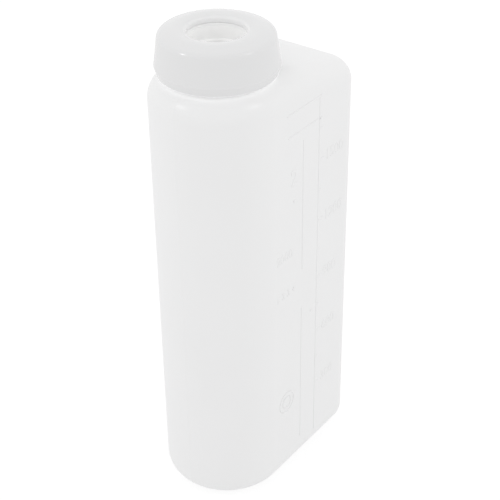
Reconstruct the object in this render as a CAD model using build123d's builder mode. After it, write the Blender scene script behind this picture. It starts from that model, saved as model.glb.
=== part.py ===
"""Calf feeding bottle: blow-moulded oblong bottle, screw collar, and a teat stored in its neck.

Frame in millimetres: +X from the neck end towards the back, +Z up, the floor at z = 0, and the
origin under the middle of the bottle's length and width.
"""

import os

from build123d import *

# ---- Driving dimensions (mm, degrees) -------------------------------------------------------
# Bottle body
body_width = 74.4
body_length = 118.7
shoulder_height = 266.0
body_wall = 1.5
back_corner_radius = 14.0
shoulder_radius = 13.0
shoulder_bend_radius = 60.0
shoulder_slope = 12.0
slope_start = 26.4
foot_radius = 11.0
base_recess_depth = 2.0
base_recess_margin = 15.0
base_recess_corner = 4.0

# Neck and thread
neck_wall = 2.0
neck_side_gap = 0.5
neck_height = 15.5
neck_root_flare = 3.4
neck_root_rise = 4.0
neck_root_sink = 1.8
thread_depth = 1.4
thread_pitch = 4.5
thread_starts = 2
thread_root_width = 2.2
thread_crest_width = 1.0
thread_weld = 0.4
thread_bottom = 4.0
thread_rise = 7.5

# Fits
thread_clearance = 0.4
seat_gap = 0.15
assembly_clearance = 0.3
ball_clearance = 0.1
seat_clearance = 0.05

# Collar
collar_foot_gap = 0.3
collar_foot_flare = 5.8
collar_foot_round = 4.6
collar_groove_height = 5.5
collar_groove_radius = 0.35
collar_top_flare = 2.4
collar_height = 24.8
collar_crown_rise = 1.6
collar_crown_round = 4.5
collar_web = 2.7
collar_hole_radius = 15.9
collar_hole_round = 1.6

# Washer, teat and vent valve
washer_thickness = 1.5
vent_slot_width = 1.2
flange_thickness = 3.5
teat_wall = 2.2
teat_reach = 82.0
teat_tip_radius = 12.6
teat_bead = 0.8
teat_bead_depth = 8.0
teat_hole_radius = 1.0
bush_side_gap = 0.6
bush_radius = 2.5
bush_height = 5.5
bush_floor = 1.0
bush_inlet_radius = 0.7
ball_radius = 1.5

# Raised scale on the flat side
rib_height = 0.4
rib_width = 0.8
scale_left = 25.6
scale_left_foot = 18.3
scale_left_drop = 19.7
scale_gap_foot = 116.5
scale_gap_top = 143.7
scale_right = 40.8
scale_right_foot = 13.3
scale_zero = 12.0
scale_shoulder_gap = 19.4
scale_steps = 6
scale_top_start = 9.7
scale_top_end = 43.0
scale_second_drop = 13.3
scale_second_start = 11.2
scale_second_end = 42.8
tick_length = 2.4
main_tick_length = 4.8

# ---- Places worked out from them ------------------------------------------------------------
front_radius = body_width / 2
neck_x = front_radius - body_length / 2
back_x = body_length / 2
mouth_radius = collar_hole_radius
barrel_radius = mouth_radius + teat_wall
vent_offset = barrel_radius + bush_side_gap + bush_radius
neck_radius = vent_offset + bush_radius + neck_side_gap + neck_wall
neck_axis = Axis((neck_x, 0, 0), (0, 0, 1))
neck_plane = Plane(origin=(neck_x, 0, 0), x_dir=(1, 0, 0), z_dir=(0, -1, 0))
rim_z = shoulder_height + neck_height
flange_z = rim_z + seat_gap
washer_z = flange_z + flange_thickness
web_z = washer_z + washer_thickness + seat_gap
collar_z = shoulder_height + collar_foot_gap
crown_z = collar_z + collar_height
collar_bore = neck_radius + thread_depth + thread_clearance
collar_foot_radius = collar_bore + collar_foot_flare
collar_top_radius = collar_bore + collar_top_flare
collar_thread_radius = collar_bore - thread_depth
disc_radius = collar_thread_radius - assembly_clearance
lead = thread_pitch * thread_starts
scale_top = shoulder_height - scale_shoulder_gap
scale_step = (scale_top - scale_zero) / scale_steps
scale_left_top = scale_top - scale_left_drop
scale_second = scale_top - scale_second_drop
scale_lines = [
    (scale_right, scale_right_foot, scale_top),
    (scale_left, scale_left_foot, scale_gap_foot),
    (scale_left, scale_gap_top, scale_left_top),
]
scale_bars = [
    (scale_top_start, scale_top_end, scale_top),
    (scale_second_start, scale_second_end, scale_second),
]
for half_step in range(2, 2 * scale_steps):
    length = tick_length if half_step % 2 else main_tick_length
    tick_z = scale_zero + scale_step * half_step / 2
    scale_bars.append((scale_right, scale_right + length, tick_z))


def body_outline(inset, corner):
    """The oblong plan: a half round in front and a flat back with rounded corners."""
    with BuildSketch() as outline:
        with Locations((neck_x, 0)):
            Circle(front_radius - inset)
        with Locations((neck_x, 0)):
            Rectangle(back_x - inset - neck_x, body_width - 2 * inset, align=(Align.MIN, Align.CENTER))
        fillet(outline.vertices().group_by(Axis.X)[-1], corner)
    return outline.sketch


def body_form(inset):
    """The closed form of the body, moved in by inset from the outer skin."""
    top = shoulder_height - inset
    bend = Vector(1, 0).rotate(Axis.Z, shoulder_slope / 2)
    bend_x = neck_x + slope_start - inset * bend.Y / bend.X
    fall = Vector(1, 0).rotate(Axis.Z, -shoulder_slope)
    drop = (body_length - slope_start) * fall.Y / fall.X
    with BuildPart() as form:
        with BuildSketch(Plane.XY.offset(inset)):
            add(body_outline(inset, back_corner_radius - inset))
        extrude(amount=top - inset)
        with BuildSketch(Plane.XZ):
            with BuildLine():
                Polyline(
                    (bend_x, top),
                    (bend_x + body_length - slope_start, top + drop),
                    (bend_x + body_length - slope_start, top + body_width),
                    (bend_x, top + body_width),
                    close=True,
                )
            make_face()
        extrude(amount=body_width, both=True, mode=Mode.SUBTRACT)
        bend_edge = form.edges().filter_by(Axis.Y).sort_by(Axis.Z)[-1]
        fillet(bend_edge, shoulder_bend_radius)
        upper = form.faces().filter_by(lambda face: face.normal_at().Z > 0.5)
        rim = upper.edges().filter_by(lambda edge: len(upper.edges().filter_by(edge.is_same)) == 1)
        fillet(rim, shoulder_radius - inset)
        fillet(form.faces().sort_by(Axis.Z)[0].edges(), foot_radius - inset)
        with BuildSketch(Plane.XY.offset(inset)):
            add(body_outline(base_recess_margin, base_recess_corner))
            if inset:
                offset(amount=inset)
        extrude(amount=base_recess_depth, mode=Mode.SUBTRACT)
    return form.part


def thread_ridges(root_radius, outward, start_z):
    """Helical ridges of a multi-start thread, rooted a little way into their wall."""
    side = 1 if outward else -1
    root = root_radius - side * thread_weld
    crest = root_radius + side * thread_depth
    with BuildPart() as ridges:
        with BuildLine():
            path = Helix(pitch=lead, height=thread_rise, radius=root_radius, center=(neck_x, 0, start_z))
        with BuildSketch(neck_plane):
            with BuildLine():
                Polyline(
                    (root, start_z - thread_root_width / 2),
                    (crest, start_z - thread_crest_width / 2),
                    (crest, start_z + thread_crest_width / 2),
                    (root, start_z + thread_root_width / 2),
                    close=True,
                )
            make_face()
        sweep(path=path, is_frenet=True)
        single = ridges.part.solids()[0]
        for start in range(1, thread_starts):
            add(single.rotate(neck_axis, 360 * start / thread_starts))
    return ridges.part


# ---- Bottle body: skin, neck, thread and raised scale ---------------------------------------
neck_bore = neck_radius - neck_wall
with BuildPart() as bottle_body:
    add(body_form(0))
    with BuildSketch(neck_plane) as neck_profile:
        with BuildLine():
            flare_foot = (neck_radius + neck_root_flare, shoulder_height - neck_root_sink)
            flare_top = (neck_radius, shoulder_height + neck_root_rise)
            Polyline(flare_top, (neck_radius, rim_z), (0, rim_z), (0, flare_foot[1]), flare_foot)
            TangentArc(flare_top, flare_foot, tangent=(0, -1))
        make_face()
    revolve(axis=neck_axis)
    fillet(bottle_body.edges().filter_by(GeomType.CIRCLE).group_by(Axis.Z)[-1], neck_wall / 4)
    add(body_form(body_wall), mode=Mode.SUBTRACT)
    with BuildSketch(Plane.XY.offset(shoulder_height - shoulder_radius)):
        with Locations((neck_x, 0)):
            Circle(neck_bore)
    extrude(amount=neck_height + shoulder_radius, mode=Mode.SUBTRACT)
    add(thread_ridges(neck_radius, True, shoulder_height + thread_bottom))
    # The raised scale starts inside the wall, so that its ribs are one with the skin.
    with BuildSketch(Plane.XZ.offset(front_radius - body_wall / 2)):
        for line_x, foot, top in scale_lines:
            with Locations((neck_x + line_x, foot)):
                Rectangle(rib_width, top - foot, align=(Align.CENTER, Align.MIN))
        for start, end, line_z in scale_bars:
            with Locations((neck_x + start, line_z)):
                Rectangle(end - start, rib_width, align=(Align.MIN, Align.CENTER))
    extrude(amount=body_wall / 2 + rib_height)

# ---- Screw collar ---------------------------------------------------------------------------
with BuildPart() as screw_collar:
    with BuildSketch(neck_plane) as collar_profile:
        with BuildLine():
            Polyline(
                (collar_bore, collar_z),
                (collar_foot_radius, collar_z),
                (collar_top_radius, crown_z - collar_crown_rise),
                (collar_hole_radius, crown_z),
                (collar_hole_radius, web_z),
                (collar_bore, web_z),
                close=True,
            )
        make_face()
        foot_corner = collar_profile.vertices().sort_by_distance((collar_foot_radius, collar_z))[0]
        fillet(foot_corner, collar_foot_round)
        crown_corner = (collar_top_radius, crown_z - collar_crown_rise)
        fillet(collar_profile.vertices().sort_by_distance(crown_corner)[0], collar_crown_round)
        hole_corner = (collar_hole_radius, crown_z)
        fillet(collar_profile.vertices().sort_by_distance(hole_corner)[0], collar_hole_round)
        groove_share = collar_groove_height / (collar_height - collar_crown_rise)
        groove_x = collar_foot_radius + (collar_top_radius - collar_foot_radius) * groove_share
        with Locations((groove_x, collar_z + collar_groove_height)):
            Circle(collar_groove_radius, mode=Mode.SUBTRACT)
    revolve(axis=neck_axis)
    add(thread_ridges(collar_bore, False, shoulder_height + thread_bottom + thread_pitch / 2))

# ---- Clamp washer: slides on the teat flange and lets vent air past through a slot ----------
with BuildPart() as clamp_washer:
    with BuildSketch(Plane.XY.offset(washer_z)):
        with Locations((neck_x, 0)):
            Circle(disc_radius)
            Circle(collar_hole_radius, mode=Mode.SUBTRACT)
        with Locations((neck_x + vent_offset, 0)):
            Rectangle(disc_radius, vent_slot_width, align=(Align.MIN, Align.CENTER), mode=Mode.SUBTRACT)
            Circle(vent_slot_width / 2, mode=Mode.SUBTRACT)
    extrude(amount=washer_thickness)

# ---- Teat, stored with its tip down inside the neck -----------------------------------------
tip_z = flange_z - teat_reach
bead_z = washer_z - teat_bead_depth
with BuildPart() as teat:
    with BuildSketch(neck_plane):
        with BuildLine():
            Polyline(
                (0, tip_z),
                (0, washer_z),
                (disc_radius, washer_z),
                (disc_radius, flange_z),
                (barrel_radius, flange_z),
                (barrel_radius, bead_z),
                (teat_tip_radius, tip_z + teat_tip_radius),
            )
            TangentArc((teat_tip_radius, tip_z + teat_tip_radius), (0, tip_z), tangent=(0, -1))
        make_face()
    revolve(axis=neck_axis)
    inner_tip = teat_tip_radius - teat_wall
    with BuildSketch(neck_plane):
        with BuildLine():
            Polyline(
                (0, tip_z + teat_wall),
                (0, washer_z),
                (mouth_radius, washer_z),
                (mouth_radius, bead_z + teat_bead),
                (mouth_radius - teat_bead, bead_z),
                (inner_tip, tip_z + teat_tip_radius),
            )
            TangentArc((inner_tip, tip_z + teat_tip_radius), (0, tip_z + teat_wall), tangent=(0, -1))
        make_face()
    revolve(axis=neck_axis, mode=Mode.SUBTRACT)
    with BuildSketch(Plane.XY.offset(tip_z)):
        with Locations((neck_x, 0)):
            Circle(teat_hole_radius)
    extrude(amount=teat_wall * 2, mode=Mode.SUBTRACT)
    with BuildSketch(Plane.XY.offset(flange_z)):
        with Locations((neck_x + vent_offset, 0)):
            Circle(bush_radius)
    extrude(amount=flange_thickness, mode=Mode.SUBTRACT)

# ---- Vent bush in the teat flange, with a loose ball ----------------------------------------
bush_z = washer_z - bush_height
with BuildPart() as vent_bush:
    with BuildSketch(Plane.XY.offset(bush_z)):
        with Locations((neck_x + vent_offset, 0)):
            Circle(bush_radius)
            Circle(bush_inlet_radius, mode=Mode.SUBTRACT)
    extrude(amount=bush_height)
    with BuildSketch(Plane.XY.offset(bush_z + bush_floor)):
        with Locations((neck_x + vent_offset, 0)):
            Circle(ball_radius + ball_clearance)
    extrude(amount=bush_height - bush_floor, mode=Mode.SUBTRACT)

ball_lift = (ball_radius**2 - bush_inlet_radius**2) ** 0.5 + seat_clearance
with BuildPart() as vent_ball:
    with Locations((neck_x + vent_offset, 0, bush_z + bush_floor + ball_lift)):
        Sphere(ball_radius)

# ---- One STEP file for each piece -----------------------------------------------------------
bottle_body.part.label = "bottle_body"
screw_collar.part.label = "screw_collar"
clamp_washer.part.label = "clamp_washer"
teat.part.label = "teat"
vent_bush.part.label = "vent_bush"
vent_ball.part.label = "vent_ball"

os.makedirs("parts", exist_ok=True)
export_step(bottle_body.part, "parts/bottle_body.step")
export_step(screw_collar.part, "parts/screw_collar.step")
export_step(clamp_washer.part, "parts/clamp_washer.step")
export_step(teat.part, "parts/teat.step")
export_step(vent_bush.part, "parts/vent_bush.step")
export_step(vent_ball.part, "parts/vent_ball.step")
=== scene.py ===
"""Calf feeding bottle: blow-moulded bottle, screw collar and a teat stored in the neck.

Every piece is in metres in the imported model's own frame: +X runs from the neck end to the flat back,
+Z is up, and the raised scale is on the -Y side.
"""

import logging
import math
from dataclasses import dataclass
from enum import Enum
from typing import Callable, ClassVar, NamedTuple

import bmesh
import bpy
from mathutils import Matrix, Vector

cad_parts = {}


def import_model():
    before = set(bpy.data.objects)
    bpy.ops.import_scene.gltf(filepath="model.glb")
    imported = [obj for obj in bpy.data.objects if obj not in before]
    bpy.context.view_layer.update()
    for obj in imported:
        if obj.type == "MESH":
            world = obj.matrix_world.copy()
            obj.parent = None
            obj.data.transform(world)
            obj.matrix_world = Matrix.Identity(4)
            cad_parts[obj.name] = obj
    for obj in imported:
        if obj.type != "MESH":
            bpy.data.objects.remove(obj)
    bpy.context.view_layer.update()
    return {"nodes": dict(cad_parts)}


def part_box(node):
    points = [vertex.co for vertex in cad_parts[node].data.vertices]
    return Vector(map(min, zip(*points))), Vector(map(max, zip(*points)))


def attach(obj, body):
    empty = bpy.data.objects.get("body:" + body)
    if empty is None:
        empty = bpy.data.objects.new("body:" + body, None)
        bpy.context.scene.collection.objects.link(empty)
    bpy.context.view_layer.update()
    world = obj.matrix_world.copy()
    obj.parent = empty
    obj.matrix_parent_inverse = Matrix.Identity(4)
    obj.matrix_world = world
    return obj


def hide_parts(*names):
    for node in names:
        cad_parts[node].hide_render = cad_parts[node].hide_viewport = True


LOG = logging.getLogger("calf_bottle")
MM = 0.001
FULL_TURN = 2 * math.pi
QUARTER_TURN = math.pi / 2
WELD_DISTANCE = 1e-6
SLIVER_LENGTH = 1e-7
WHITE = (1, 1, 1, 1)

Place = Callable[["PlanColumn"], Vector]
Profile = list[tuple[float, float]]


class Body(Enum):
    """The rigid bodies that pieces ride on."""

    BOTTLE = "bottle"
    CLOSURE = "closure"
    COLLAR = "collar"


class PlanSection(Enum):
    """The stretches of the bottle's plan, in order round it from the middle of the back."""

    BACK_LEFT = 0
    CORNER_LEFT = 1
    SIDE_LEFT = 2
    FRONT = 3
    SIDE_RIGHT = 4
    CORNER_RIGHT = 5
    BACK_RIGHT = 6


class PlanColumn(NamedTuple):
    """One column of the bottle's skin: its stretch of the plan and how far along it."""

    section: PlanSection
    share: float

    def folded(self) -> tuple[PlanSection, float, bool]:
        """The matching section and share on the left half, and whether the column is on the right."""
        if self.section.value <= PlanSection.FRONT.value:
            return self.section, self.share, False
        return PlanSection(PlanSection.BACK_RIGHT.value - self.section.value), 1 - self.share, True


class Corner(NamedTuple):
    """A corner of a spun section: its distance from the axis, its height and its rounding."""

    radius: float
    height: float
    rounding: float


# ---- Mesh helpers ----


def finish_mesh(mesh_builder: bmesh.types.BMesh, name: str, smooth_angle: float = 35.0) -> bpy.types.Object:
    """Turns a bmesh into a linked object with outward normals and soft shading.

    Args:
        mesh_builder: the bmesh to use up.
        name: the name of the new piece.
        smooth_angle: the angle in degrees above which an edge stays sharp.

    Returns:
        The new object, at the origin.
    """
    bmesh.ops.remove_doubles(mesh_builder, verts=mesh_builder.verts[:], dist=WELD_DISTANCE)
    bmesh.ops.dissolve_degenerate(mesh_builder, edges=mesh_builder.edges[:], dist=SLIVER_LENGTH)
    bmesh.ops.recalc_face_normals(mesh_builder, faces=mesh_builder.faces[:])
    limit = math.radians(smooth_angle)
    for face in mesh_builder.faces:
        face.smooth = True
    for edge in mesh_builder.edges:
        edge.smooth = len(edge.link_faces) == 2 and edge.calc_face_angle(0.0) < limit
    mesh = bpy.data.meshes.new(name)
    mesh_builder.to_mesh(mesh)
    mesh_builder.free()
    piece = bpy.data.objects.new(name, mesh)
    bpy.context.scene.collection.objects.link(piece)
    return piece


def rounded_profile(corners: list[Corner], steps: int) -> Profile:
    """Rounds the corners of a closed profile with arcs.

    Args:
        corners: the corners, in order round the section.
        steps: how many stretches an arc is made of.

    Returns:
        The points of the closed profile.
    """
    points: Profile = []
    for index, (r, z, rounding) in enumerate(corners):
        here = Vector((r, z))
        before = Vector(corners[index - 1][:2]) - here
        after = Vector(corners[(index + 1) % len(corners)][:2]) - here
        if rounding <= 0:
            points.append((r, z))
            continue
        half = before.angle(after) / 2
        centre = here + (before.normalized() + after.normalized()).normalized() * (rounding / math.sin(half))
        start = here + before.normalized() * (rounding / math.tan(half)) - centre
        end = here + after.normalized() * (rounding / math.tan(half)) - centre
        sweep = start.angle_signed(end)
        for step in range(steps + 1):
            spoke = start.copy()
            spoke.rotate(Matrix.Rotation(-sweep * step / steps, 2))
            points.append(tuple(centre + spoke))
    return points


def spin_round(
    target: bmesh.types.BMesh, outline: list[bmesh.types.BMVert], centre: Vector, axis: Vector, steps: int
) -> None:
    """Spins an outline's corners and edges a full turn, and joins the ends."""
    bmesh.ops.spin(
        target, geom=outline, cent=centre, axis=axis, angle=FULL_TURN, steps=steps, use_merge=True
    )


def spun_piece(profile: Profile, axis_x: float, steps: int) -> bmesh.types.BMesh:
    """Spins a closed profile into a ring or a cup about a vertical axis.

    Args:
        profile: points as (radius, height).
        axis_x: where the axis stands along X.
        steps: how many stretches make the full turn.

    Returns:
        The spun bmesh.
    """
    spun = bmesh.new()
    rim = [spun.verts.new((axis_x + r, 0, z)) for r, z in profile]
    wires = [spun.edges.new((rim[index - 1], rim[index])) for index in range(len(rim))]
    spin_round(spun, rim + wires, Vector((axis_x, 0, 0)), Vector((0, 0, 1)), steps)
    return spun


def thread_ridge(
    target: bmesh.types.BMesh,
    thread: "ThreadSizes",
    root: float,
    outward: bool,
    start_z: float,
    axis_x: float,
) -> None:
    """Adds every start of a helical thread ridge to a bmesh.

    Args:
        target: the bmesh that takes the ridges.
        thread: the thread's sizes.
        root: the radius of the wall that carries the thread.
        outward: whether the ridge stands outwards from its wall.
        start_z: the height where the ridge starts.
        axis_x: where the thread's axis stands along X.
    """
    side = 1 if outward else -1
    turns = thread.rise / thread.lead
    steps = int(thread.steps_per_turn * turns)
    flank = (root + side * thread.depth * thread.flank_share, thread.crest_width / 2 + thread.crest_round)
    crest = (root + side * thread.depth, thread.crest_width / 2 - thread.crest_round)
    upper = [crest, flank, (root - side * thread.weld, thread.root_width / 2)]
    section = [(r, -z) for r, z in reversed(upper)] + upper
    for start in range(thread.starts):
        corners = [target.verts.new((axis_x + r, 0, start_z + z)) for r, z in section]
        end_face = target.faces.new(corners)
        turn = Matrix.Rotation(FULL_TURN * start / thread.starts, 3, "Z")
        bmesh.ops.rotate(target, verts=corners, cent=(axis_x, 0, 0), matrix=turn)
        bmesh.ops.spin(
            target,
            geom=corners + list(end_face.edges) + [end_face],
            cent=(axis_x, 0, 0),
            axis=(0, 0, 1),
            dvec=(0, 0, thread.rise / steps),
            angle=FULL_TURN * turns,
            steps=steps,
        )


# ---- Sizes ----


@dataclass(frozen=True)
class ThreadSizes:
    """The two-start thread between the neck and the collar, in metres."""

    starts: int = 2
    lead: float = 9.0 * MM
    rise: float = 7.5 * MM
    depth: float = 1.4 * MM
    weld: float = 0.3 * MM
    root_width: float = 2.2 * MM
    crest_width: float = 1.0 * MM
    crest_round: float = 0.2 * MM
    flank_share: float = 0.8
    foot: float = 4.0 * MM
    steps_per_turn: int = 96


@dataclass(frozen=True)
class BottleSizes:
    """Sizes of the blow-moulded bottle, in metres; the outer ones come from the frame."""

    front_radius: float
    neck_x: float
    back_x: float
    rim_z: float
    shoulder_height: float = 266.0 * MM
    wall: float = 1.5 * MM
    back_corner: float = 14.0 * MM
    shoulder_radius: float = 13.0 * MM
    shoulder_slope: float = math.radians(12.0)
    slope_start: float = 26.4 * MM
    slope_blend: float = 7.0 * MM
    foot_radius: float = 11.0 * MM
    recess_depth: float = 2.0 * MM
    recess_margin: float = 15.0 * MM
    recess_blend: float = 1.6 * MM
    recess_wall_share: float = 0.4
    neck_radius: float = 26.2 * MM
    neck_wall: float = 2.0 * MM
    bore_flare: float = 1.0 * MM
    flare: float = 3.4 * MM
    flare_rise: float = 4.0 * MM
    lip: float = 0.6 * MM
    seam_width: float = 0.5 * MM
    seam_height: float = 0.1 * MM
    seam_foot: float = 3.0 * MM

    @classmethod
    def from_frame(cls) -> "BottleSizes":
        """Reads the bottle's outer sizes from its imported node."""
        low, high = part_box("bottle_body")
        return cls(front_radius=high[1], neck_x=low[0] + high[1], back_x=high[0], rim_z=high[2])

    @property
    def neck_bore(self) -> float:
        """The radius of the neck's bore."""
        return self.neck_radius - self.neck_wall

    @property
    def below_lip(self) -> float:
        """The height where the neck's straight walls end under the lip."""
        return self.rim_z - 3 * self.lip


@dataclass(frozen=True)
class RowCounts:
    """How many rows of faces each stretch of the bottle's skin has."""

    floor: int = 5
    recess: int = 4
    foot: int = 10
    wall: int = 18
    shoulder: int = 22
    flare: int = 7
    lip: int = 4
    bore: int = 3
    inner_shoulder: int = 12
    inner_wall: int = 6


@dataclass(frozen=True)
class ScaleSizes:
    """The raised scale on the flat side; X is counted from the neck's axis."""

    height: float = 0.22 * MM
    width: float = 0.9 * MM
    root: float = 0.5 * MM
    softening: float = 0.2 * MM
    left: float = 25.6 * MM
    left_foot: float = 18.3 * MM
    left_top: float = 226.9 * MM
    gap_foot: float = 116.5 * MM
    gap_top: float = 143.7 * MM
    right: float = 40.8 * MM
    right_foot: float = 13.3 * MM
    top_start: float = 9.7 * MM
    top_end: float = 43.0 * MM
    second: float = 233.3 * MM
    second_start: float = 11.2 * MM
    second_end: float = 42.8 * MM
    zero: float = 12.0 * MM
    step: float = 39.1 * MM
    steps: int = 6
    step_millilitres: int = 300
    tick: float = 2.4 * MM
    main_tick: float = 4.8 * MM
    numeral_start: float = 47.0 * MM
    numeral_size: float = 9.2 * MM
    numeral_rise: float = 0.06 * MM
    numeral_softening: float = 0.1 * MM

    @property
    def top(self) -> float:
        """The height of the scale's top line."""
        return self.zero + self.step * self.steps

    def bars(self) -> list[tuple[float, float, float, float]]:
        """Every raised bar as (start x, end x, low z, high z)."""
        half = self.width / 2
        uprights = [
            (self.right, self.right_foot, self.top),
            (self.left, self.left_foot, self.gap_foot),
            (self.left, self.gap_top, self.left_top),
        ]
        levels = [
            (self.top_start, self.top_end, self.top),
            (self.second_start, self.second_end, self.second),
        ]
        for half_step in range(2, 2 * self.steps):
            length = self.tick if half_step % 2 else self.main_tick
            levels.append((self.right, self.right + length, self.zero + self.step * half_step / 2))
        bars = [(x - half, x + half, low, high) for x, low, high in uprights]
        bars += [(start, end, z - half, z + half) for start, end, z in levels]
        return bars


@dataclass(frozen=True)
class MouldMark:
    """A plain number on the flat side: its digits, its start, its middle's height and its relative size."""

    text: str
    start: float
    height: float
    share: float = 1.0


@dataclass(frozen=True)
class PipSizes:
    """The round pips and the double ring on the flat side; X is counted from the neck's axis."""

    places: tuple[tuple[float, float], ...] = ((17.1 * MM, 192.5 * MM), (34.9 * MM, 108.7 * MM))
    radius: float = 0.9 * MM
    flatness: float = 0.6
    ring_place: tuple[float, float] = (11.0 * MM, 55.0 * MM)
    ring_radii: tuple[float, float] = (7.0 * MM, 4.0 * MM)
    ring_wire: float = 0.35 * MM


# ---- The bottle ----


class Bottle:
    """The blow-moulded bottle: one closed skin with its neck, thread, seam and raised scale."""

    counts = RowCounts()
    pips = PipSizes()
    mould_marks = (
        MouldMark("2000", start=0.5 * MM, height=160.0 * MM, share=0.85),
        MouldMark("1 2 3 4", start=0.5 * MM, height=134.5 * MM, share=0.7),
        MouldMark("2", start=13.5 * MM, height=207.0 * MM, share=1.5),
    )

    def __init__(self, sizes: BottleSizes, thread: ThreadSizes, scale: ScaleSizes) -> None:
        """Keeps the sizes that the meshes are worked out from."""
        self.sizes = sizes
        self.thread = thread
        self.scale = scale
        self.columns = self._columns()

    def _columns(self) -> list[PlanColumn]:
        """Columns round the plan, closer together where it bends and beside the parting seam."""
        counts = {
            PlanSection.BACK_LEFT: 6,
            PlanSection.CORNER_LEFT: 10,
            PlanSection.SIDE_LEFT: 14,
            PlanSection.FRONT: 64,
            PlanSection.SIDE_RIGHT: 14,
            PlanSection.CORNER_RIGHT: 10,
            PlanSection.BACK_RIGHT: 6,
        }
        columns = [
            PlanColumn(section, step / count) for section, count in counts.items() for step in range(count)
        ]
        back_half = self.sizes.front_radius - self.sizes.back_corner
        near_back = self.sizes.seam_width / back_half
        near_front = self.sizes.seam_width / (math.pi * self.sizes.front_radius)
        columns += [
            PlanColumn(PlanSection.BACK_LEFT, near_back),
            PlanColumn(PlanSection.FRONT, 0.5 - near_front),
            PlanColumn(PlanSection.FRONT, 0.5 + near_front),
            PlanColumn(PlanSection.BACK_RIGHT, 1 - near_back),
        ]
        columns.sort(key=lambda column: (column.section.value, column.share))
        return columns

    def plan_point(self, column: PlanColumn, inset: float) -> Vector:
        """A point of the plan, moved in from the outermost skin.

        Args:
            column: which column of the skin.
            inset: how far inside the outermost plan the point is.

        Returns:
            The point as a 2-D vector.
        """
        s = self.sizes
        half = max(s.front_radius - inset, 0.0)
        corner = min(max(s.back_corner - inset, 0.0), half)
        back = s.back_x - inset
        section, share, mirrored = column.folded()
        if section is PlanSection.BACK_LEFT:
            point = Vector((back, share * (half - corner)))
        elif section is PlanSection.CORNER_LEFT:
            angle = share * QUARTER_TURN
            point = Vector((back - corner, half - corner))
            point += Vector((math.cos(angle), math.sin(angle))) * corner
        elif section is PlanSection.SIDE_LEFT:
            point = Vector((back - corner + (s.neck_x - back + corner) * share, half))
        else:
            angle = QUARTER_TURN + math.pi * share
            point = Vector((s.neck_x + half * math.cos(angle), half * math.sin(angle)))
        return Vector((point.x, -point.y)) if mirrored else point

    def neck_angle(self, column: PlanColumn) -> float:
        """The angle on the neck that a column of the skin runs up to."""
        s = self.sizes
        section, share, mirrored = column.folded()
        if section is PlanSection.FRONT:
            return QUARTER_TURN + math.pi * share
        lengths = [
            s.front_radius - s.back_corner,
            s.back_corner * QUARTER_TURN,
            s.back_x - s.back_corner - s.neck_x,
        ]
        along = sum(lengths[: section.value]) + lengths[section.value] * share
        angle = along / sum(lengths) * QUARTER_TURN
        return -angle if mirrored else angle

    def neck_point(self, column: PlanColumn, radius: float, z: float) -> Vector:
        """A point on a circle about the neck's axis."""
        angle = self.neck_angle(column)
        return Vector((self.sizes.neck_x + radius * math.cos(angle), radius * math.sin(angle), z))

    def depth_inside(self, x: float, y: float) -> float:
        """How far a point of the plan lies inside the outermost plan."""
        s = self.sizes
        if x <= s.neck_x:
            return s.front_radius - math.hypot(x - s.neck_x, y)
        beyond_x = x - (s.back_x - s.back_corner)
        beyond_y = abs(y) - (s.front_radius - s.back_corner)
        if beyond_x > 0 and beyond_y > 0:
            return s.back_corner - math.hypot(beyond_x, beyond_y)
        return min(s.front_radius - abs(y), s.back_x - x)

    def roof(self, x: float) -> float:
        """The height of the shoulder before its edges are rounded: level, then falling to the back."""
        s = self.sizes
        past = x - s.neck_x - s.slope_start
        if past <= -s.slope_blend:
            return s.shoulder_height
        if past < s.slope_blend:
            past = (past + s.slope_blend) ** 2 / (4 * s.slope_blend)
        return s.shoulder_height - math.tan(s.shoulder_slope) * past

    def shoulder_z(self, x: float, y: float, wall: float) -> float:
        """The height of the shoulder's surface, wall inside the outer skin."""
        s = self.sizes
        radius = s.shoulder_radius - wall
        depth = min(max(self.depth_inside(x, y) - wall, 0.0), radius)
        return self.roof(x) - s.shoulder_radius + math.sqrt(max(radius**2 - (radius - depth) ** 2, 0.0))

    def _shoulder_row(self, t: float, wall: float, foot: float) -> Place:
        """A row of the shoulder, t of the way from the neck's foot to the wall's top."""
        s = self.sizes
        radius = s.shoulder_radius - wall
        nearest = s.front_radius - wall - foot

        def place(column: PlanColumn) -> Vector:
            """Places one point of the row."""
            inner = self.neck_point(column, foot, 0)
            outer = self.plan_point(column, wall)
            full = self.depth_inside(inner.x, inner.y) - wall
            first = math.asin(max(1 - min(nearest, radius) / radius, 0.0))
            angle = first + (QUARTER_TURN - first) * t
            depth = radius * (1 - math.sin(angle)) + (full - min(nearest, radius)) * (1 - t) ** 2
            share = min(max(1 - depth / full, 0.0), 1.0)
            x = inner.x + (outer.x - inner.x) * share
            y = inner.y + (outer.y - inner.y) * share
            return Vector((x, y, self.shoulder_z(x, y, wall)))

        return place

    def _level_row(self, inset: float, z: float) -> Place:
        """A level row at one inset and one height."""
        return lambda column: self.plan_point(column, inset).to_3d() + Vector((0, 0, z))

    def _wall_row(self, inset: float, share: float) -> Place:
        """A row of the upright wall, share of the way from the foot to the shoulder."""
        s = self.sizes

        def place(column: PlanColumn) -> Vector:
            """Places one point of the row."""
            x, y = self.plan_point(column, inset)
            top = self.roof(x) - s.shoulder_radius
            return Vector((x, y, s.foot_radius + (top - s.foot_radius) * share))

        return place

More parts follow.
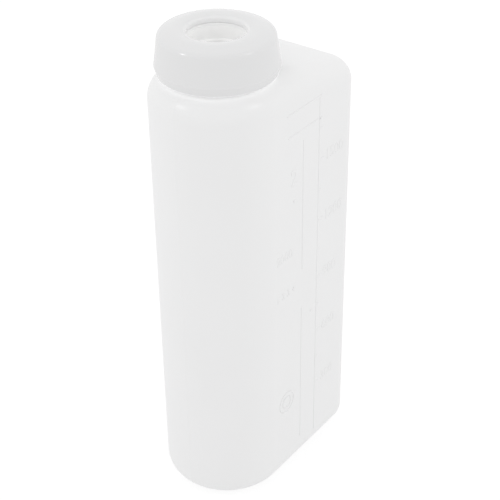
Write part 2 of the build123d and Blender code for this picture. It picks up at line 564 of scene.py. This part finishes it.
    def _base_rows(self, wall: float) -> list[Place]:
        """Rows from the middle of the base out to the foot of the wall."""
        s, count = self.sizes, self.counts
        rows = []
        edge = s.recess_margin - wall * s.recess_wall_share
        for step in range(count.floor + 1):
            inset = s.front_radius + (edge + s.recess_blend - s.front_radius) * step / count.floor
            rows.append(self._level_row(inset, wall + s.recess_depth))
        for step in range(1, count.recess + 1):
            angle = math.pi * step / count.recess
            inset = edge + s.recess_blend * (1 - step / count.recess)
            rows.append(self._level_row(inset, wall + s.recess_depth * (1 + math.cos(angle)) / 2))
        radius = s.foot_radius - wall
        for step in range(count.foot + 1):
            angle = QUARTER_TURN * step / count.foot
            inset = s.foot_radius - radius * math.sin(angle)
            rows.append(self._level_row(inset, s.foot_radius - radius * math.cos(angle)))
        return rows

    def _outer_rows(self) -> list[Place]:
        """Rows of the outer skin from the middle of the base up to the neck's rim."""
        s, count = self.sizes, self.counts
        rows = self._base_rows(0.0)
        rows += [self._wall_row(0.0, step / count.wall) for step in range(1, count.wall + 1)]
        foot = s.neck_radius + s.flare
        for step in range(1, count.shoulder + 1):
            rows.append(self._shoulder_row(1 - step / count.shoulder, 0.0, foot))
        for step in range(1, count.flare + 1):
            angle = QUARTER_TURN * step / count.flare
            radius = foot - s.flare * math.sin(angle)
            rise = 1 - math.cos(angle)
            rows.append(self._flare_row(radius, foot, rise))
        rows.append(lambda column: self.neck_point(column, s.neck_radius, s.below_lip))
        return rows

    def _flare_row(self, radius: float, foot: float, rise: float) -> Place:
        """A row of the neck's flared root, rise of the way up from the shoulder."""
        top = self.sizes.shoulder_height + self.sizes.flare_rise

        def place(column: PlanColumn) -> Vector:
            """Places one point of the row."""
            base = self.neck_point(column, foot, 0)
            low = self.shoulder_z(base.x, base.y, 0.0)
            return self.neck_point(column, radius, low + (top - low) * rise)

        return place

    def _rim_rows(self) -> list[Place]:
        """Rows over the rounded lip and down the neck's bore."""
        s, count = self.sizes, self.counts
        rows = []
        for centre, first in ((s.neck_radius - s.lip, 0.0), (s.neck_bore + s.lip, QUARTER_TURN)):
            for step in range(count.lip + 1):
                angle = first + QUARTER_TURN * step / count.lip
                radius = centre + s.lip * math.cos(angle)
                z = s.rim_z - s.lip + s.lip * math.sin(angle)
                rows.append(lambda column, radius=radius, z=z: self.neck_point(column, radius, z))
        root_z = s.shoulder_height - s.wall + s.bore_flare
        for step in range(count.bore + 1):
            z = s.below_lip + (root_z - s.below_lip) * step / count.bore
            rows.append(lambda column, z=z: self.neck_point(column, s.neck_bore, z))
        return rows

    def _inner_rows(self) -> list[Place]:
        """Rows of the inner skin from the neck's root down to the middle of the floor."""
        s, count = self.sizes, self.counts
        foot = s.neck_bore + s.bore_flare
        shares = [step / count.inner_shoulder for step in range(count.inner_shoulder + 1)]
        rows = [self._shoulder_row(share, s.wall, foot) for share in shares]
        steps = count.inner_wall
        rows += [self._wall_row(s.wall, 1 - step / steps) for step in range(1, steps + 1)]
        rows += self._base_rows(s.wall)[-2::-1]
        return rows

    def build_skin(self) -> bpy.types.Object:
        """Builds the bottle's closed skin as one wrapped grid, with the parting seam raised.

        Returns:
            The skin's object.
        """
        rows = self._outer_rows()
        outer_count = len(rows)
        rows += self._rim_rows() + self._inner_rows()
        skin = bmesh.new()
        wrap, last = len(self.columns), len(rows) - 1
        bmesh.ops.create_grid(skin, x_segments=wrap, y_segments=last, size=1)
        seam = []
        for vert in skin.verts:
            column = round((vert.co.x + 1) / 2 * wrap) % wrap
            row = round((vert.co.y + 1) / 2 * last)
            on_seam = abs(self.plan_point(self.columns[column], 0).y) < SLIVER_LENGTH
            vert.co = rows[row](self.columns[column])
            if on_seam and row < outer_count - 1:
                seam.append(vert)
        bmesh.ops.remove_doubles(skin, verts=skin.verts[:], dist=WELD_DISTANCE)
        bmesh.ops.recalc_face_normals(skin, faces=skin.faces[:])
        skin.normal_update()
        for vert in seam:
            if vert.is_valid and vert.co.z > self.sizes.seam_foot:
                vert.co += vert.normal * self.sizes.seam_height
        return finish_mesh(skin, "bottle_skin", smooth_angle=50)

    def build_thread(self) -> bpy.types.Object:
        """Builds the neck's helical ridges."""
        ridges = bmesh.new()
        start = self.sizes.shoulder_height + self.thread.foot
        thread_ridge(ridges, self.thread, self.sizes.neck_radius, True, start, self.sizes.neck_x)
        return finish_mesh(ridges, "neck_thread")

    def build_scale(self) -> bpy.types.Object:
        """Builds the raised lines and ticks, each a low bar with softened edges."""
        bars = bmesh.new()
        side = -self.sizes.front_radius
        depth = self.scale.height + self.scale.root
        middle = side - self.scale.height + depth / 2
        for start, end, low, high in self.scale.bars():
            made = bmesh.ops.create_cube(bars, size=1)["verts"]
            bmesh.ops.scale(bars, vec=(end - start, depth, high - low), verts=made)
            spot = Vector((self.sizes.neck_x + (start + end) / 2, middle, (low + high) / 2))
            bmesh.ops.translate(bars, vec=spot, verts=made)
        proud = [edge for edge in bars.edges if all(vert.co.y < side for vert in edge.verts)]
        bmesh.ops.bevel(
            bars,
            geom=proud,
            offset=self.scale.softening,
            segments=3,
            profile=0.5,
            affect="EDGES",
            material=-1,
        )
        return finish_mesh(bars, "scale_lines", smooth_angle=60)

    def build_numerals(self) -> bpy.types.Object:
        """Builds the raised numbers of the scale and the plain numbers beside it."""
        scale = self.scale
        marks = [
            MouldMark(str(scale.step_millilitres * step), scale.numeral_start, scale.zero + scale.step * step)
            for step in range(1, scale.steps)
        ]
        merged = bmesh.new()
        for mark in marks + list(self.mould_marks):
            self._add_number(merged, mark)
        return finish_mesh(merged, "scale_numerals", smooth_angle=40)

    def _add_number(self, target: bmesh.types.BMesh, mark: MouldMark) -> None:
        """Adds one raised number to a bmesh.

        Args:
            target: the bmesh that takes the number.
            mark: the number and its place.
        """
        curve = bpy.data.curves.new(f"number_{mark.text.replace(' ', '_')}", "FONT")
        curve.body = mark.text
        curve.size = self.scale.numeral_size * mark.share
        curve.align_y = "CENTER"
        curve.extrude = self.scale.numeral_rise
        curve.bevel_depth = self.scale.numeral_softening
        curve.bevel_resolution = 1
        curve.resolution_u = 4
        holder = bpy.data.objects.new(curve.name, curve)
        mesh = bpy.data.meshes.new_from_object(holder)
        upright = Matrix(((1, 0, 0), (0, 0, -1), (0, 1, 0))).to_4x4()
        spot = (self.sizes.neck_x + mark.start, -self.sizes.front_radius, mark.height)
        mesh.transform(Matrix.Translation(spot) @ upright)
        target.from_mesh(mesh)
        bpy.data.objects.remove(holder)
        bpy.data.curves.remove(curve)
        bpy.data.meshes.remove(mesh)

    def build_pips(self) -> bpy.types.Object:
        """Builds the low round pips and the plain double ring on the flat side."""
        sizes = self.pips
        pips = bmesh.new()
        side = -self.sizes.front_radius
        for x, z in sizes.places:
            made = bmesh.ops.create_uvsphere(pips, u_segments=20, v_segments=12, radius=sizes.radius)["verts"]
            bmesh.ops.scale(pips, vec=(1, sizes.flatness, 1), verts=made)
            bmesh.ops.translate(pips, vec=(self.sizes.neck_x + x, side, z), verts=made)
        centre = Vector((self.sizes.neck_x + sizes.ring_place[0], side, sizes.ring_place[1]))
        for radius in sizes.ring_radii:
            ring = bmesh.ops.create_circle(pips, segments=10, radius=sizes.ring_wire)["verts"]
            wires = list({edge for vert in ring for edge in vert.link_edges})
            bmesh.ops.translate(pips, vec=centre + Vector((radius, 0, 0)), verts=ring)
            spin_round(pips, ring + wires, centre, Vector((0, 1, 0)), steps=48)
        return finish_mesh(pips, "mould_pips", smooth_angle=60)


# ---- The closure ----


@dataclass(frozen=True)
class CollarSizes:
    """Sizes of the screw collar, in metres."""

    crown_z: float = 291.1 * MM
    web_z: float = 286.8 * MM
    bore: float = 28.0 * MM
    hole: float = 15.9 * MM
    groove_rise: float = 5.5 * MM


class Collar:
    """The smooth screw collar, with a rounded crown that rolls into its hole."""

    def __init__(self, bottle: BottleSizes, thread: ThreadSizes, sizes: CollarSizes) -> None:
        """Reads the collar's foot from the frame."""
        self.bottle = bottle
        self.thread = thread
        self.sizes = sizes
        self.low_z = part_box("screw_collar")[0][2]

    def _corners(self) -> dict[str, Corner]:
        """The section's corners in order, from the foot's inner edge round the outside."""
        s, foot = self.sizes, self.low_z
        groove_z = foot + s.groove_rise
        return {
            "foot inside": Corner(s.bore, foot + 0.2 * MM, 0.3 * MM),
            "foot": Corner(30.0 * MM, foot, 0.8 * MM),
            "foot outside": Corner(31.7 * MM, foot + 0.9 * MM, 1.0 * MM),
            "widest": Corner(33.1 * MM, groove_z, 0.35 * MM),
            "above the groove": Corner(32.9 * MM, groove_z + 0.5 * MM, 0.5 * MM),
            "crown outside": Corner(30.75 * MM, s.crown_z - 2.6 * MM, 3.4 * MM),
            "crown": Corner(22.0 * MM, s.crown_z + 0.1 * MM, 11.0 * MM),
            "hole's mouth": Corner(s.hole, s.crown_z - 0.9 * MM, 1.9 * MM),
            "hole inside": Corner(s.hole, s.web_z, 0.3 * MM),
            "bore's end": Corner(s.bore, s.web_z, 0.8 * MM),
        }

    def build(self) -> bpy.types.Object:
        """Spins the collar's section and adds its inner thread."""
        profile = rounded_profile(list(self._corners().values()), steps=8)
        collar = spun_piece(profile, self.bottle.neck_x, steps=144)
        start = self.bottle.shoulder_height + self.thread.foot + self.thread.lead / self.thread.starts / 2
        thread_ridge(collar, self.thread, self.sizes.bore, False, start, self.bottle.neck_x)
        return finish_mesh(collar, "collar_ring")


@dataclass(frozen=True)
class TeatSizes:
    """Sizes of the rubber teat, in metres."""

    height: float = 85.5 * MM
    wall: float = 2.2 * MM
    mouth: float = 15.9 * MM
    flange: float = 3.5 * MM
    bead_depth: float = 8.0 * MM
    bead_rise: float = 0.8 * MM
    tip: float = 12.6 * MM
    tip_hole: float = 1.0 * MM
    tip_spread: float = 0.98
    tip_round: float = 0.78
    tip_round_inside: float = 0.75


class Teat:
    """The rubber teat, stored with its tip down: flange, mouth bead, tapered barrel and tip."""

    def __init__(self, axis_x: float, sizes: TeatSizes) -> None:
        """Reads the teat's top and its flange's radius from the frame."""
        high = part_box("teat")[1]
        self.axis_x = axis_x
        self.sizes = sizes
        self.top_z = high[2]
        self.disc = high[0] - axis_x

    def _corners(self) -> dict[str, Corner]:
        """The section's corners in order, up the outside from the tip and down the inside."""
        s, top = self.sizes, self.top_z
        low_z = top - s.height
        bead_z = top - s.bead_depth
        flange_z = top - s.flange
        barrel = s.mouth + s.wall
        inner = s.tip - s.wall
        return {
            "tip's hole outside": Corner(s.tip_hole, low_z, 0.1 * MM),
            "tip outside": Corner(s.tip * s.tip_spread, low_z + 0.1 * MM, s.tip * s.tip_round),
            "barrel's foot": Corner(s.tip, low_z + s.tip, 1.0 * MM),
            "barrel's top": Corner(barrel, bead_z, 2.0 * MM),
            "flange's root": Corner(barrel, flange_z, 0.5 * MM),
            "flange below": Corner(self.disc, flange_z, 0.5 * MM),
            "flange above": Corner(self.disc, top, 0.5 * MM),
            "mouth": Corner(s.mouth, top, 0.4 * MM),
            "bead above": Corner(s.mouth, bead_z + s.bead_rise, 0.3 * MM),
            "bead": Corner(s.mouth - s.bead_rise, bead_z, 0.3 * MM),
            "barrel's foot inside": Corner(inner, low_z + s.tip, 1.0 * MM),
            "tip inside": Corner(inner * s.tip_spread, low_z + s.wall, inner * s.tip_round_inside),
            "tip's hole inside": Corner(s.tip_hole, low_z + s.wall, 0.1 * MM),
        }

    def build(self) -> bpy.types.Object:
        """Spins the teat's section."""
        profile = rounded_profile(list(self._corners().values()), steps=6)
        return finish_mesh(spun_piece(profile, self.axis_x, steps=96), "teat_rubber")


# ---- Finishes ----


@dataclass(frozen=True)
class PaintedLightPlace:
    """Where a piece's painted light falls: near the neck's axis, and past a height from the node's low or
    high face.
    """

    node: str
    from_top: bool
    full_height: float
    faded_height: float
    full_radius: float = 0.0
    faded_radius: float = 1.0 * MM
    hole_share: float = 0.0

    LABELS: ClassVar[tuple[str, ...]] = (
        "Axis X",
        "Full Radius",
        "Faded Radius",
        "Hole Share",
        "Full Height",
        "Faded Height",
    )

    def inputs(self, axis_x: float) -> dict[str, float]:
        """What the painted-light group needs, by label, for a neck's axis that stands at axis_x."""
        base_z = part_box(self.node)[self.from_top][2]
        values = (
            axis_x,
            self.full_radius,
            self.faded_radius,
            self.hole_share,
            base_z + self.full_height,
            base_z + self.faded_height,
        )
        return dict(zip(self.LABELS, values))


@dataclass(frozen=True)
class Finish:
    """A moulded finish: its colour, gloss and how much its surface wanders.

    Emission here is painted light: parts that are no lamps shine white, lifting the shade under the collar
    and in its hole.
    """

    name: str
    colour: tuple[float, float, float]
    roughness: float
    specular: float = 0.5
    painted_light_strength: float = 0.0
    painted_light_place: PaintedLightPlace | None = None
    ripple: float = 0.1
    ripple_scale: float = 28.0
    grain: float = 0.02
    grain_scale: float = 900.0
    tone: float = 0.02
    metallic: float = 0.0

    LABELS: ClassVar[tuple[str, ...]] = ("Ripple", "Ripple Scale", "Grain", "Grain Scale", "Tone Drift")

    def inputs(self) -> dict[str, float]:
        """What the moulded-surface group needs, by label."""
        values = (self.ripple, self.ripple_scale, self.grain, self.grain_scale, self.tone)
        return dict(zip(self.LABELS, values))


FINISHES = {
    "bottle": Finish(
        "bottle_polyethylene",
        (0.85, 0.85, 0.852),
        roughness=0.3,
        ripple=0.3,
        ripple_scale=22.0,
    ),
    "collar": Finish(
        "collar_polypropylene",
        (0.765, 0.765, 0.768),
        roughness=0.15,
        ripple=0.06,
        ripple_scale=30.0,
        # Painted light: the collar's foot and hole wall shine, lifting the shade on the shoulder under the
        # collar and inside the hole.
        painted_light_strength=0.5,
        painted_light_place=PaintedLightPlace(
            "screw_collar",
            from_top=False,
            full_height=0.4 * MM,
            faded_height=1.2 * MM,
            full_radius=15.95 * MM,
            faded_radius=17.2 * MM,
            hole_share=0.22,
        ),
    ),
    # Painted light: the washer shines all over, lifting the shade inside the collar's hole.
    "washer": Finish("washer_plastic", (0.9, 0.9, 0.9), roughness=0.35, ripple=0.05, painted_light_strength=0.08),
    "teat": Finish(
        "teat_silicone",
        (0.87, 0.87, 0.865),
        roughness=0.42,
        grain=0.05,
        # Painted light: the teat's top shines, fading out lower down, lifting the shade inside the collar's
        # hole.
        painted_light_strength=0.12,
        painted_light_place=PaintedLightPlace("teat", from_top=True, full_height=-18.0 * MM, faded_height=-30.0 * MM),
    ),
    "bush": Finish("bush_plastic", (0.8, 0.8, 0.8), roughness=0.3, ripple=0.05),
    "ball": Finish(
        "ball_steel", (0.62, 0.62, 0.64), roughness=0.18, ripple=0.01, grain=0.005, tone=0.01, metallic=1.0
    ),
}


class NodeBench:
    """Adds nodes to one tree and feeds their inputs."""

    def __init__(self, tree: bpy.types.NodeTree) -> None:
        """Keeps the tree."""
        self.tree = tree

    def feed(self, socket: bpy.types.NodeSocket, value: object) -> None:
        """Links an input to another node's output, or sets it to a constant."""
        if isinstance(value, bpy.types.NodeSocket):
            self.tree.links.new(value, socket)
        else:
            socket.default_value = value

    def fill(self, node: bpy.types.Node, inputs: dict[int | str, object]) -> None:
        """Feeds several inputs of one node, by name or number."""
        for label, value in inputs.items():
            self.feed(node.inputs[label], value)

    def add(self, kind: str, inputs: dict[int | str, object], **settings: object) -> bpy.types.Node:
        """Adds a node.

        Args:
            kind: the node's type, without its ShaderNode prefix.
            inputs: what goes into its inputs, by name or number.
            settings: the node's own settings.

        Returns:
            The new node.
        """
        node = self.tree.nodes.new(f"ShaderNode{kind}")
        for name, value in settings.items():
            setattr(node, name, value)
        self.fill(node, inputs)
        return node

    def maths(self, operation: str, *values: object) -> bpy.types.NodeSocket:
        """Adds a maths node and returns its output."""
        return self.add("Math", dict(enumerate(values)), operation=operation).outputs[0]


def new_group(name: str, labels: tuple[str, ...]) -> bpy.types.NodeTree:
    """Starts a shared node group that has number inputs.

    Args:
        name: the group's name.
        labels: the inputs' names.

    Returns:
        The group.
    """
    group = bpy.data.node_groups.new(name, "ShaderNodeTree")
    for label in labels:
        group.interface.new_socket(label, in_out="INPUT", socket_type="NodeSocketFloat")
    return group


def moulded_surface_group() -> bpy.types.NodeTree:
    """The shared moulded-surface effect: slow ripples, fine grain and a slight drift of tone.

    Returns:
        The node group, with Colour and Height outputs.
    """
    group = new_group("moulded_surface", Finish.LABELS)
    for in_out in ("INPUT", "OUTPUT"):
        group.interface.new_socket("Colour", in_out=in_out, socket_type="NodeSocketColor")
    group.interface.new_socket("Height", in_out="OUTPUT", socket_type="NodeSocketFloat")
    bench = NodeBench(group)
    given = group.nodes.new("NodeGroupInput").outputs
    sink = group.nodes.new("NodeGroupOutput").inputs
    place = bench.add("TexCoord", {}).outputs["Object"]
    ripple = bench.add("TexNoise", {"Vector": place, "Scale": given["Ripple Scale"], "Detail": 1.0})
    grain = bench.add("TexNoise", {"Vector": place, "Scale": given["Grain Scale"], "Detail": 2.0})
    ripple_height = bench.maths("MULTIPLY", ripple.outputs["Fac"], given["Ripple"])
    grain_height = bench.maths("MULTIPLY", grain.outputs["Fac"], given["Grain"])
    bench.feed(sink["Height"], bench.maths("ADD", ripple_height, grain_height))
    centred = bench.maths("SUBTRACT", ripple.outputs["Fac"], 0.5)
    drift = bench.maths("MULTIPLY_ADD", centred, given["Tone Drift"], 1.0)
    shade = bench.add("HueSaturation", {"Value": drift, "Color": given["Colour"]})
    bench.feed(sink["Colour"], shade.outputs["Color"])
    return group


def painted_light_group() -> bpy.types.NodeTree:
    """Painted light: emission that lifts the shade under the collar and in its hole, fainter round a hole,
    and full past a height.

    Returns:
        The node group, with a Glow output.
    """
    group = new_group("painted_light_nodes", PaintedLightPlace.LABELS)
    group.interface.new_socket("Painted Light", in_out="OUTPUT", socket_type="NodeSocketColor")
    bench = NodeBench(group)
    given = group.nodes.new("NodeGroupInput").outputs
    sink = group.nodes.new("NodeGroupOutput").inputs
    place = bench.add("SeparateXYZ", {0: bench.add("TexCoord", {}).outputs["Object"]}).outputs
    beside = bench.maths("SUBTRACT", place["X"], given["Axis X"])
    flat = bench.add("CombineXYZ", {"X": beside, "Y": place["Y"]})
    reach = bench.add("VectorMath", {0: flat.outputs[0]}, operation="LENGTH")
    round_hole = bench.add(
        "MapRange",
        {
            "Value": reach.outputs["Value"],
            "From Min": given["Full Radius"],
            "From Max": given["Faded Radius"],
            "To Min": given["Hole Share"],
            "To Max": 0.0,
        },
    )
    past_height = bench.add(
        "MapRange",
        {
            "Value": place["Z"],
            "From Min": given["Full Height"],
            "From Max": given["Faded Height"],
            "To Min": 1.0,
            "To Max": 0.0,
        },
    )
    bench.feed(sink["Painted Light"], bench.maths("MAXIMUM", round_hole.outputs[0], past_height.outputs[0]))
    return group


def make_material(
    finish: Finish, group: bpy.types.NodeTree, painted_light_nodes: bpy.types.NodeTree, axis_x: float
) -> bpy.types.Material:
    """Makes a finish's material from the shared effects.

    Args:
        finish: the finish.
        group: the moulded-surface node group.
        painted_light_nodes: the node group of painted light, emission that lifts the shade under the collar
            and in its hole.
        axis_x: where the neck's axis stands along X.

    Returns:
        The material.
    """
    material = bpy.data.materials.new(finish.name)
    material.use_nodes = True
    bench = NodeBench(material.node_tree)
    shader = material.node_tree.nodes["Principled BSDF"]
    colour = (*finish.colour, 1)
    constants = {
        "Base Color": colour,
        "Roughness": finish.roughness,
        "Metallic": finish.metallic,
        "Specular IOR Level": finish.specular,
        # Painted light: a white emission, as strong as the finish says, on parts that are no lamps.
        "Emission Color": WHITE,
        "Emission Strength": finish.painted_light_strength,
    }
    bench.fill(shader, constants)
    # The painted light's mask keeps it to the collar's foot and hole wall and to the teat's top.
    if finish.painted_light_place:
        lit = bench.add("Group", finish.painted_light_place.inputs(axis_x), node_tree=painted_light_nodes)
        bench.feed(shader.inputs["Emission Color"], lit.outputs["Painted Light"])
    surface = bench.add("Group", finish.inputs() | {"Colour": colour}, node_tree=group)
    bump = bench.add("Bump", {"Strength": 0.5, "Distance": 1.0 * MM, "Height": surface.outputs["Height"]})
    bench.fill(shader, {"Normal": bump.outputs["Normal"], "Base Color": surface.outputs["Colour"]})
    return material


def dress(piece: bpy.types.Object, material: bpy.types.Material) -> None:
    """Gives a piece one material in place of any it has."""
    piece.data.materials.clear()
    piece.data.materials.append(material)


# ---- Studio ----


@dataclass(frozen=True)
class StudioCamera:
    """The camera: angles in degrees, its place in multiples of the bottle's front radius.

    The lens and the sensor are in millimetres, and the shift is a share of the sensor.
    """

    turn: float = 35.52
    pitch: float = 33.166
    distance: float = 19.345
    aim_right: float = 0.816
    aim_height: float = 4.189
    lens: float = 91.58256
    shift_x: float = -0.0525
    sensor: float = 36.0

    def place(self, sizes: BottleSizes) -> bpy.types.Object:
        """Creates the camera and makes it the scene's own.

        Args:
            sizes: the bottle's sizes, whose front radius is the unit and whose neck is the middle.

        Returns:
            The camera object.
        """
        turn, pitch = math.radians(self.turn), math.radians(self.pitch)
        unit = sizes.front_radius
        ahead = Vector((math.cos(turn) * math.cos(pitch), math.sin(turn) * math.cos(pitch), -math.sin(pitch)))
        right = Vector((math.sin(turn), -math.cos(turn), 0))
        aim = right * self.aim_right * unit + Vector((sizes.neck_x, 0, self.aim_height * unit))
        data = bpy.data.cameras.new("studio_camera")
        data.sensor_width = self.sensor
        data.lens = self.lens
        data.shift_x = self.shift_x
        data.clip_start = 0.01
        camera = bpy.data.objects.new("studio_camera", data)
        camera.location = aim - ahead * self.distance * unit
        camera.rotation_euler = ahead.to_track_quat("-Z", "Y").to_euler()
        bpy.context.scene.collection.objects.link(camera)
        bpy.context.scene.camera = camera
        return camera


@dataclass(frozen=True)
class Softbox:
    """A soft square lamp: angles in degrees, distance and size in metres, power in watts."""

    name: str
    compass: float
    rise: float
    distance: float
    size: float
    power: float


@dataclass(frozen=True)
class RoomLight:
    """How bright the room is: where it lights the bottle, and where it is seen directly."""

    floor_reach: float = 6.0
    floor_shade: float = 0.35
    floor_lit: float = 0.58
    floor_seen: float = 0.7
    sky_seen: float = 1.02
    sky_far: float = 1.01
    sky_near: float = 0.88
    near_from: float = 0.2


class Studio:
    """A near-white room with a pale floor and two softboxes."""

    light = RoomLight()
    aim_share = 0.8
    softboxes = (
        Softbox("softbox_left", compass=148.0, rise=35.0, distance=0.9, size=0.12, power=0.44),
        Softbox("softbox_right", compass=282.0, rise=35.0, distance=0.9, size=0.12, power=0.36),
    )

    def build(self, sizes: BottleSizes) -> None:
        """Builds the floor, the sky, the lamps and the camera."""
        camera = StudioCamera().place(sizes)
        self._floor()
        self._sky(camera.location.normalized())
        for box in self.softboxes:
            self._lamp(box, Vector((0, 0, sizes.rim_z * self.aim_share)))
        bpy.context.scene.view_settings.view_transform = "Standard"

    def _floor(self) -> None:
        """Lays a wide, plain, bright floor."""
        ground = bmesh.new()
        bmesh.ops.create_grid(ground, x_segments=1, y_segments=1, size=self.light.floor_reach)
        floor = finish_mesh(ground, "floor")
        material = bpy.data.materials.new("pale_floor")
        material.use_nodes = True
        bench = NodeBench(material.node_tree)
        seen = bench.add("LightPath", {}).outputs["Is Camera Ray"]
        bounds = {"To Min": self.light.floor_lit, "To Max": self.light.floor_seen}
        looks = {
            "Base Color": (*[self.light.floor_shade] * 3, 1),
            "Roughness": 0.9,
            "Specular IOR Level": 0.0,
            "Emission Color": WHITE,
            "Emission Strength": bench.add("MapRange", {"Value": seen} | bounds).outputs[0],
        }
        bench.fill(material.node_tree.nodes["Principled BSDF"], looks)
        floor.data.materials.append(material)

    def _sky(self, towards_camera: Vector) -> None:
        """Sets a soft sky, white where it is seen directly and a little dimmer on the camera's side.

        Args:
            towards_camera: the direction from the bottle to the camera.
        """
        world = bpy.data.worlds.new("studio_sky")
        world.use_nodes = True
        world.node_tree.nodes.clear()
        bench = NodeBench(world.node_tree)
        place = bench.add("TexCoord", {}).outputs["Generated"]
        facing = bench.add("VectorMath", {0: place, 1: towards_camera}, operation="DOT_PRODUCT")
        dimmed = bench.add(
            "MapRange",
            {
                "Value": facing.outputs["Value"],
                "From Min": self.light.near_from,
                "To Min": self.light.sky_far,
                "To Max": self.light.sky_near,
            },
        )
        lit = bench.add("Background", {"Color": WHITE, "Strength": dimmed.outputs[0]})
        seen = bench.add("Background", {"Color": WHITE, "Strength": self.light.sky_seen})
        seen_directly = bench.add("LightPath", {}).outputs["Is Camera Ray"]
        mix = bench.add("MixShader", {0: seen_directly, 1: lit.outputs[0], 2: seen.outputs[0]})
        bench.add("OutputWorld", {0: mix.outputs[0]})
        bpy.context.scene.world = world

    def _lamp(self, box: Softbox, aim: Vector) -> None:
        """Hangs one softbox, facing the bottle."""
        compass, rise = math.radians(box.compass), math.radians(box.rise)
        level = Vector((math.cos(compass), math.sin(compass), 0))
        spoke = level * math.cos(rise) + Vector((0, 0, math.sin(rise)))
        data = bpy.data.lights.new(box.name, "AREA")
        data.shape = "SQUARE"
        data.size = box.size
        data.energy = box.power
        lamp = bpy.data.objects.new(box.name, data)
        lamp.location = aim + spoke * box.distance
        lamp.rotation_euler = (-spoke).to_track_quat("-Z", "Y").to_euler()
        bpy.context.scene.collection.objects.link(lamp)


# ---- Assembly ----


def seat(piece: bpy.types.Object, body: Body, material: bpy.types.Material) -> None:
    """Puts a new piece on its body and its finish."""
    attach(piece, body.value)
    dress(piece, material)
    LOG.info("%s rides on %s with %d faces", piece.name, body.value, len(piece.data.polygons))


def main() -> None:
    """Loads the frame, builds and dresses every piece, and sets the studio."""
    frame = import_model()
    sizes = BottleSizes.from_frame()
    # The second node group is painted light: emission that lifts the shade under the collar and in its hole.
    moulded, painted_light_tree = moulded_surface_group(), painted_light_group()
    materials = {
        name: make_material(finish, moulded, painted_light_tree, sizes.neck_x) for name, finish in FINISHES.items()
    }

    thread = ThreadSizes()
    bottle = Bottle(sizes, thread, ScaleSizes())
    skin = bottle.build_skin()
    seat(skin, Body.BOTTLE, materials["bottle"])
    for piece in (bottle.build_thread(), bottle.build_scale(), bottle.build_numerals(), bottle.build_pips()):
        seat(piece, Body.BOTTLE, materials["bottle"])
    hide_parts("bottle_body")

    ring = Collar(sizes, thread, CollarSizes()).build()
    seat(ring, Body.COLLAR, materials["collar"])
    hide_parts("screw_collar")

    rubber = Teat(sizes.neck_x, TeatSizes()).build()
    seat(rubber, Body.CLOSURE, materials["teat"])
    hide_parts("teat")

    for node, finish in (("clamp_washer", "washer"), ("vent_bush", "bush"), ("vent_ball", "ball")):
        dress(frame["nodes"][node], materials[finish])

    Studio().build(sizes)


if __name__ == "__main__":
    logging.basicConfig(level=logging.INFO)
    main()
